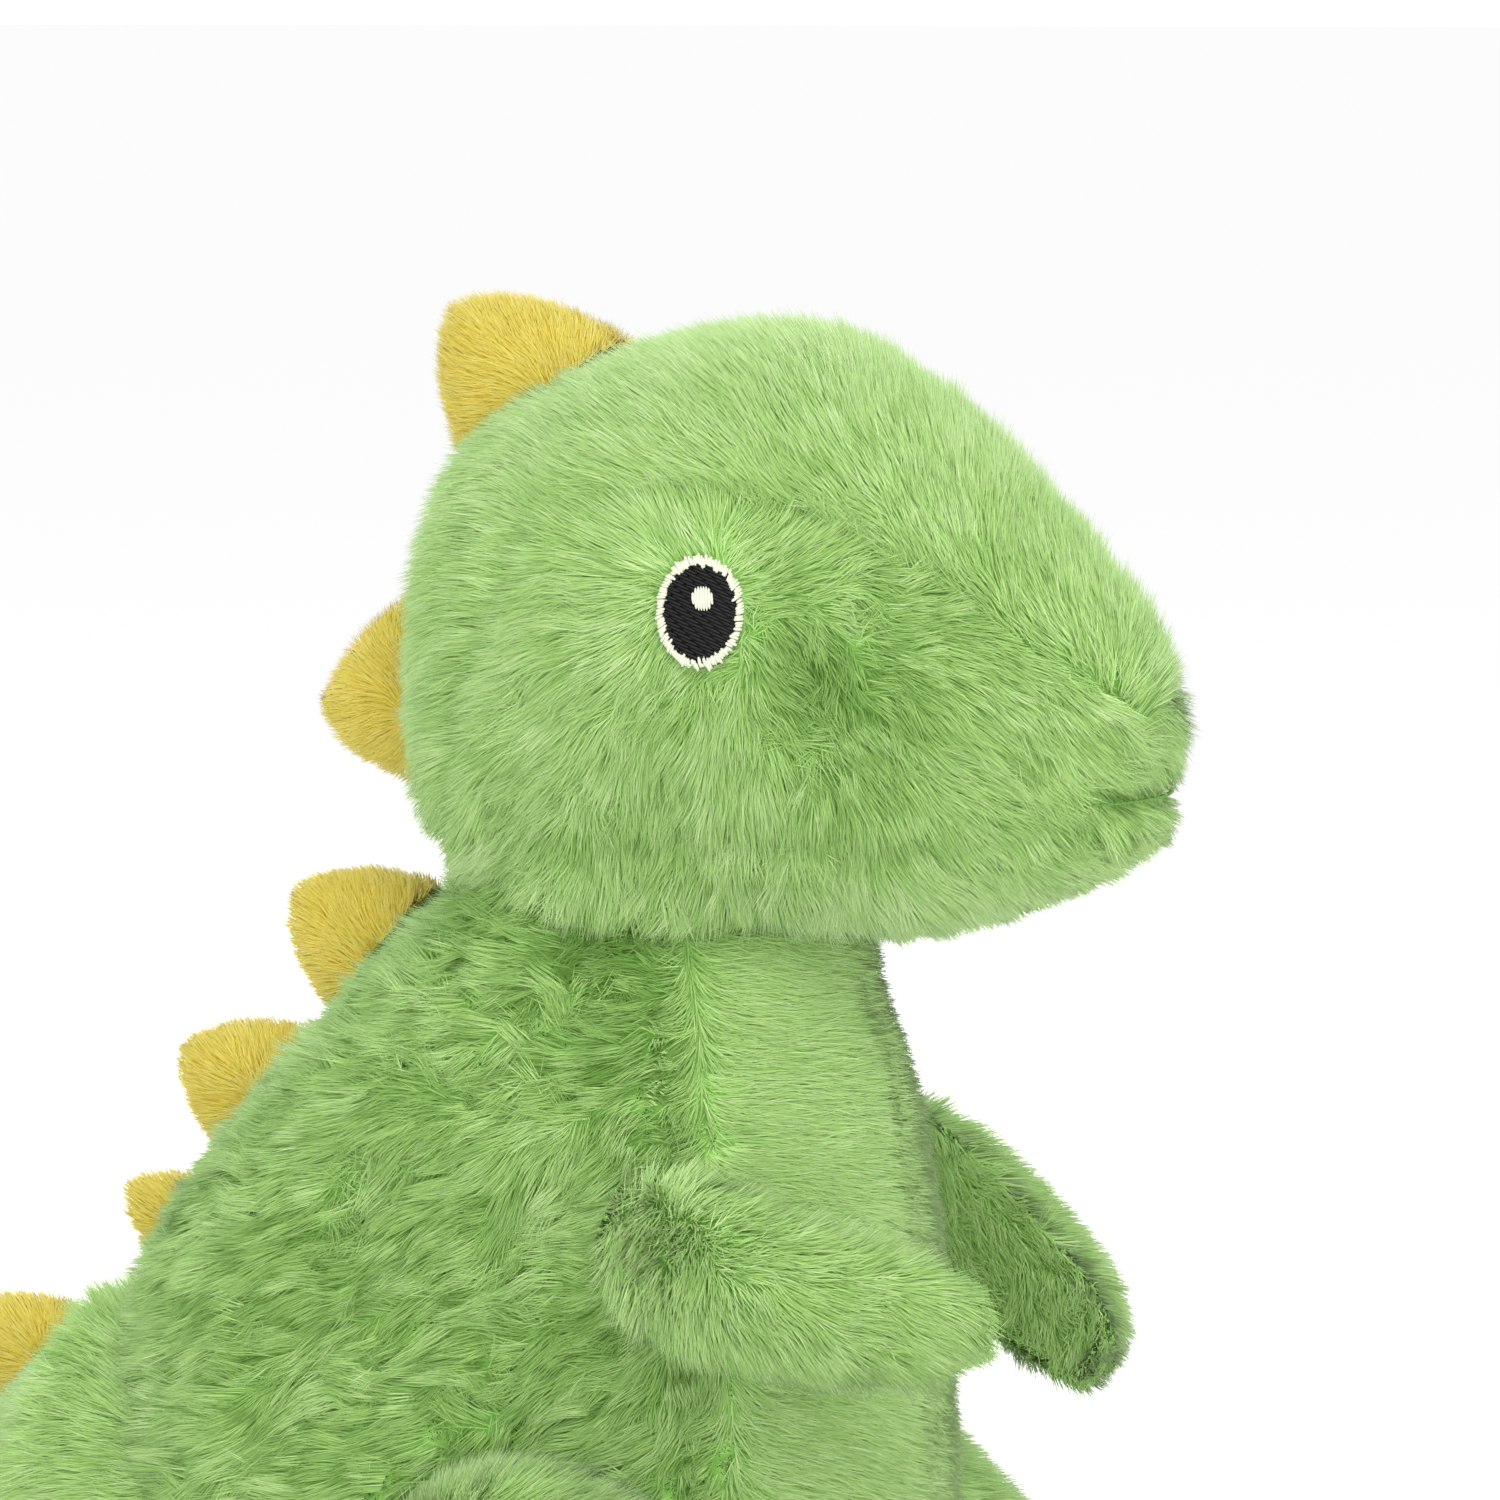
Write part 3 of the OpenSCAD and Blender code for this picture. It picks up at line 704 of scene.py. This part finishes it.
for side, _ in SIDES:
    embroider_eye(side)
mouth = np.array(mouth_line())
mouth[:, 0] -= 3.2 * MM
mouth_thread = stitches("mouth_thread", mouth[:-1], mouth[1:], np.array([0.0, 0.0, 1.0]),
                        [GREEN_THREAD], width=0.8, arch=0.1)
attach(mouth_thread, "head")
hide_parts("mouth_stitch")

# ---- Body and neck ----
BODY_NODES = ["body_side_right", "body_side_left", "belly_panel", "seat_panel", "body_stuffing",
              "pellet_pouch", "pellets"]


def neck_column():
    """The neck, from inside the body to inside the head. Rows: height, front, back, half width."""
    rows = [(92, 46, -50, 34), (104, 48, -54, 36), (118, 50, -50, 38), (128, 49, -44, 37.5),
            (136, 47.5, -38, 36), (143, 46.5, -31, 33.5), (150, 46, -22, 31), (158, 44, -17, 28),
            (166, 38, -12, 24)]
    a = np.linspace(0, 2 * math.pi, 36, endpoint=False)
    rings = []
    for z, front, back, half in rows:
        reach = np.where(np.cos(a) > 0, front - 5, -(back - 5))
        rings.append(np.stack([5 + reach * np.cos(a), half * np.sin(a), np.full(36, z)], axis=1) * MM)
    return rings_mesh(rings)


body_skin = joined_skin("body_skin", BODY_NODES + ["neck_stuffing", "neck_sleeve"], [neck_column()],
                        mats=[GREEN_BACKING])


BELLY_ANGLE = 52            # of the belly panel's edge from straight ahead, in degrees
# Rough patch in the neck fold, where the pile is also darkened with painted shade
NECK_PATCH = (20, -37, 139)


def belly_angle(p):
    return np.degrees(np.arctan2(np.abs(p[:, 1]) / 0.0476, p[:, 0] / 0.0557))


def belly_share(p):
    """1 on the belly panel, 0 on the sides."""
    return np.clip((BELLY_ANGLE + 1 - belly_angle(p)) / 9, 0, 1)


def body_comb(p, n, zone):
    """Down and back on the sides, and sideways on the smooth belly."""
    belly = belly_share(p)[:, None]
    sides = np.array([-0.75, 0, -0.6]) * (1 - belly)
    front = np.stack([0 * p[:, 0], -np.sign(p[:, 1]) * 0.9, np.full(len(p), -0.3)], axis=1) * belly
    return lying(p, n, sides + front)


def body_ruffle(p):
    return 1.1 - 0.9 * belly_share(p)


def body_lift(p):
    return (0.66 - 0.2 * belly_share(p) + 0.2 * near(p, NECK_PATCH, 11)
            + 0.08 * np.exp(-(((belly_angle(p) - BELLY_ANGLE - 7) / 5) ** 2)))


def body_tone_and_painted_light(p):
    # Lighter on the belly panel and darker over the torso, with a painted highlight on the ridge beside
    # the belly seam, painted shade in the neck fold and a painted shadow under the head
    highlight_beside_belly = np.exp(-(((belly_angle(p) - BELLY_ANGLE - 7) / 5) ** 2))
    shadow_under_head = np.clip((p[:, 2] - 0.138) / 0.012, 0, 1)
    return (0.6 * belly_share(p) + 0.1 * highlight_beside_belly - 0.5 - 0.9 * near(p, NECK_PATCH, 12)
            - 0.5 * shadow_under_head)


def in_the_open(p):
    """True below the head, where the body's pile can be seen."""
    return p[:, 2] < 0.158


body_co = coords(body_skin.data)
body_seam = np.exp(-((belly_angle(body_co) - BELLY_ANGLE) / 2.6) ** 2)
back_seam = np.exp(-((body_co[:, 1] / (2.2 * MM)) ** 2)) * (body_co[:, 0] < 0)
press_in(body_skin, np.maximum(body_seam, back_seam), 1.1)
body_pile = grow_pile("body_pile", body_skin, body_comb, GREEN, seed=21, keep=in_the_open,
                      ruffle=body_ruffle, lift=body_lift, shade=body_tone_and_painted_light, seam=body_seam * 0.6)
NECK_BEND = ((neck_at[0], 0, 0.126), (neck_at[0], 0, 0.150))
for piece in [body_skin, *body_pile]:
    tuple(NECK_BEND[0])
    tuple(NECK_BEND[1])
    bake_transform(piece)
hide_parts(*BODY_NODES, "neck_stuffing", "neck_sleeve")


# ---- Arms, legs and tail ----
def limb(name, nodes, body, comb, seed, extra=(), shape=None, bend=None, **pile):
    """A limb's skin and pile. Its last node is the stuffing, and the others are its panels.

    shape(coordinates) moves the skin's vertices. When bend is given, the pieces are baked in place
    instead of attached to the limb's body; its two points are not used.
    """
    skin = joined_skin(f"{name}_skin", nodes, extra, mats=[GREEN_BACKING])
    seam = seam_values(panel_gaps(skin, nodes[:-1]), 1.8)
    if shape is not None:
        set_coords(skin.data, shape(coords(skin.data)))
    press_in(skin, seam, 0.8)
    pieces = grow_pile(f"{name}_pile", skin, comb, GREEN, seed=seed, seam=seam * 0.5, **pile)
    for piece in [skin, *pieces]:
        if bend is None:
            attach(piece, body)
        else:
            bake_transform(piece)
    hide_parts(*nodes)


def forward_down(p, n, zone):
    return lying(p, n, (0.8, 0, -0.6))


def along_arm(p, n, zone):
    return lying(p, n, (0.85, 0, -0.4))


def sunk_shoulder(co):
    """The arm swells gradually out of the body's side, from its root to past its pivot."""
    f = np.clip((co[:, 0] - 16 * MM) / (36 * MM), 0, 1)
    swell = 0.3 + 0.7 * f * f * (3 - 2 * f)
    side = np.sign(co[:, 1].mean())
    inner = SHOULDER_INNER * MM * side
    out = co.copy()
    out[:, 1] = inner + (co[:, 1] - inner) * swell
    return out


def sewn_hip(co):
    """The leg's inner side reaches in to the body around the hip, where it is sewn on."""
    side = np.sign(co[:, 1].mean())
    depth = co[:, 1] * side
    inner_share = np.clip(1 - (depth - depth.min()) / (14 * MM), 0, 1)
    hip_share = np.clip((60 * MM - co[:, 0]) / (22 * MM), 0, 1)
    out = co.copy()
    out[:, 1] -= side * HIP_REACH * MM * inner_share * hip_share
    return out


def backward(p, n, zone):
    return lying(p, n, (-0.9, 0, -0.45))


for side, sign in SIDES:
    arm_nodes = [f"arm_{part}_{side}" for part in ("outer", "inner", "stuffing")]
    limb(f"arm_{side}", arm_nodes, f"arm_{side}", along_arm, 31 + sign, shape=sunk_shoulder)
    leg_nodes = [f"leg_{part}_{side}" for part in ("outer", "inner", "sole", "stuffing")]
    limb(f"leg_{side}", leg_nodes, f"leg_{side}", forward_down, 41 + sign, shape=sewn_hip,
         density=DENSITY * 0.85)


def tail_root():
    """Carries the tail's form forward into the body. Rows: x, top and half width."""
    a = np.linspace(0, 2 * math.pi, 40, endpoint=False)
    rings = []
    for x, top, half in ((-46, 76, 32), (-56, 82, 35), (-68, 86, 36.5), (-80, 87.5, 37), (-84, 84, 36)):
        ring = [np.full(40, x), half * np.cos(a), 1.5 + top / 2 * (1 + np.sin(a))]
        rings.append(np.stack(ring, axis=1) * MM)
    return rings_mesh(rings)


def behind_body(p):
    return p[:, 0] < -0.05


limb("tail", ["tail_side_right", "tail_side_left", "tail_stuffing"], "tail", backward, 51,
     extra=[tail_root()], bend=((-0.062, 0, 0.04), (-0.09, 0, 0.04)), keep=behind_body)

# ---- Spikes ----
SPIKES = {"spike_crown": "head", "spike_nape": "head", "spike_back_1": "torso", "spike_back_2": "torso",
          "spike_back_3": "torso", "spike_tail_1": "tail", "spike_tail_2": "tail",
          "spike_tail_3": "tail", "spike_tail_4": "tail"}
for i, (name, body) in enumerate(SPIKES.items()):
    skin = joined_skin(f"{name}_skin", [name], inset=SPIKE_INSET, voxel=1.2, smooth=3,
                       mats=[YELLOW_BACKING])
    lo, hi = (np.array(v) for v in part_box(name))

    def toward_base(p, n, zone, lo=lo, hi=hi):
        return lying(p, n, unit(p - (lo + hi) / 2) + np.array([-0.6, 0, 0.5]))

    pieces = grow_pile(f"{name}_pile", skin, toward_base, YELLOW, length=SPIKE_PILE, seed=61 + i,
                       lift=0.6, ruffle=0.4, density=DENSITY * 1.25, width=WISP_WIDTH * 0.85)
    for piece in [skin, *pieces]:
        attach(piece, body)
    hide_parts(name)

# ---- Care label: a blank folded ribbon low on the right side ----
LABEL_RIBBON = woven_material("label_ribbon", srgb(222, 222, 216), srgb(234, 234, 228), thread=0.4,
                              roughness=0.5)


def folded_ribbon(half_width=6.2, thickness=0.25):
    """A ribbon that goes out along the CAD label, folds over and comes back, with rolled edges."""
    co = coords(NODES["care_label"].data)
    lo, hi = co.min(0), co.max(0)
    base = co[co[:, 0] > hi[0] - 1.5 * MM].mean(0)
    tip = co[co[:, 0] < lo[0] + 1.5 * MM].mean(0)
    out = unit(tip - base)
    length = np.linalg.norm(tip - base)
    side = unit(np.cross(out, [0.0, 0.0, 1.0]))
    t = np.linspace(0, math.pi, 9)
    along = np.concatenate([[0, 0.35, 0.7], 0.93 + 0.07 * np.sin(t), [0.7, 0.35, 0]]) * length
    gap = np.concatenate([[0.3, 0.7, 0.75], 0.55 * np.cos(t), [-0.75, -0.7, -0.3]]) * MM
    path = base + out * along[:, None] + side * gap[:, None]
    step = unit(np.gradient(path, axis=0))
    facing = unit(np.cross(step, [0.0, 0.0, 1.0]))
    section = [(-1, -0.8), (-0.96, -1), (0.96, -1), (1, -0.8),
               (1, 0.8), (0.96, 1), (-0.96, 1), (-1, 0.8)]
    rings = []
    for point, face in zip(path, facing):
        rings.append(np.array([point + np.array([0, 0, k * half_width * MM])
                               + face * h * thickness / 2 * MM for k, h in section]))
    return mesh_object("care_label_ribbon", *rings_mesh(rings), [LABEL_RIBBON], smooth=False)


label = folded_ribbon()
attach(label, "torso")
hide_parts("care_label")

# ---- Camera, floor and light ----
VIEW_AZIMUTH = 22
VIEW_ELEVATION = 5
VIEW_CENTRE = (0.0222, 0.009, 0.1713)
FRAME_WIDTH = 0.22388      # width of the view at the toy, in metres
DISTANCE = 1.3


def make_camera():
    data = bpy.data.cameras.new("camera")
    data.sensor_width = 36
    data.lens = 36 * DISTANCE / FRAME_WIDTH
    data.clip_end = 200
    camera = bpy.data.objects.new("camera", data)
    az, el = math.radians(VIEW_AZIMUTH), math.radians(VIEW_ELEVATION)
    back = Vector((math.sin(az) * math.cos(el), -math.cos(az) * math.cos(el), math.sin(el)))
    camera.location = Vector(VIEW_CENTRE) + back * DISTANCE
    camera.rotation_euler = back.to_track_quat("Z", "Y").to_euler()
    bpy.context.scene.collection.objects.link(camera)
    bpy.context.scene.camera = camera


def make_light(name, location, size, power, target=(0, 0, 0.12)):
    data = bpy.data.lights.new(name, "AREA")
    data.size = size
    data.energy = power
    lamp = bpy.data.objects.new(name, data)
    lamp.location = location
    lamp.rotation_euler = (Vector(location) - Vector(target)).to_track_quat("Z", "Y").to_euler()
    bpy.context.scene.collection.objects.link(lamp)


make_camera()
make_light("key", (0.7, -1.1, 1.3), 0.9, 11)
make_light("fill", (-1.2, -0.9, 0.8), 1.2, 5)
make_light("low", (0.9, -1.2, 0.06), 0.8, 8)
make_light("rim", (-0.4, 1.2, 1.0), 1.0, 12)

world = bpy.data.worlds.new("studio")
world.use_nodes = True
world.node_tree.nodes["Background"].inputs["Color"].default_value = (1, 1, 1, 1)
world.node_tree.nodes["Background"].inputs["Strength"].default_value = 1.02
bpy.context.scene.world = world
bpy.context.scene.view_settings.view_transform = "Standard"

FLOOR_HALF = 60
corners = [(x * FLOOR_HALF, y * FLOOR_HALF, -FLOOR_DROP * MM)
           for x, y in ((-1, -1), (1, -1), (1, 1), (-1, 1))]
floor = mesh_object("floor", corners, [(0, 1, 2, 3)],
                    [plain_material("floor", (0.95, 0.95, 0.95), 1.0, specular=0.0)])
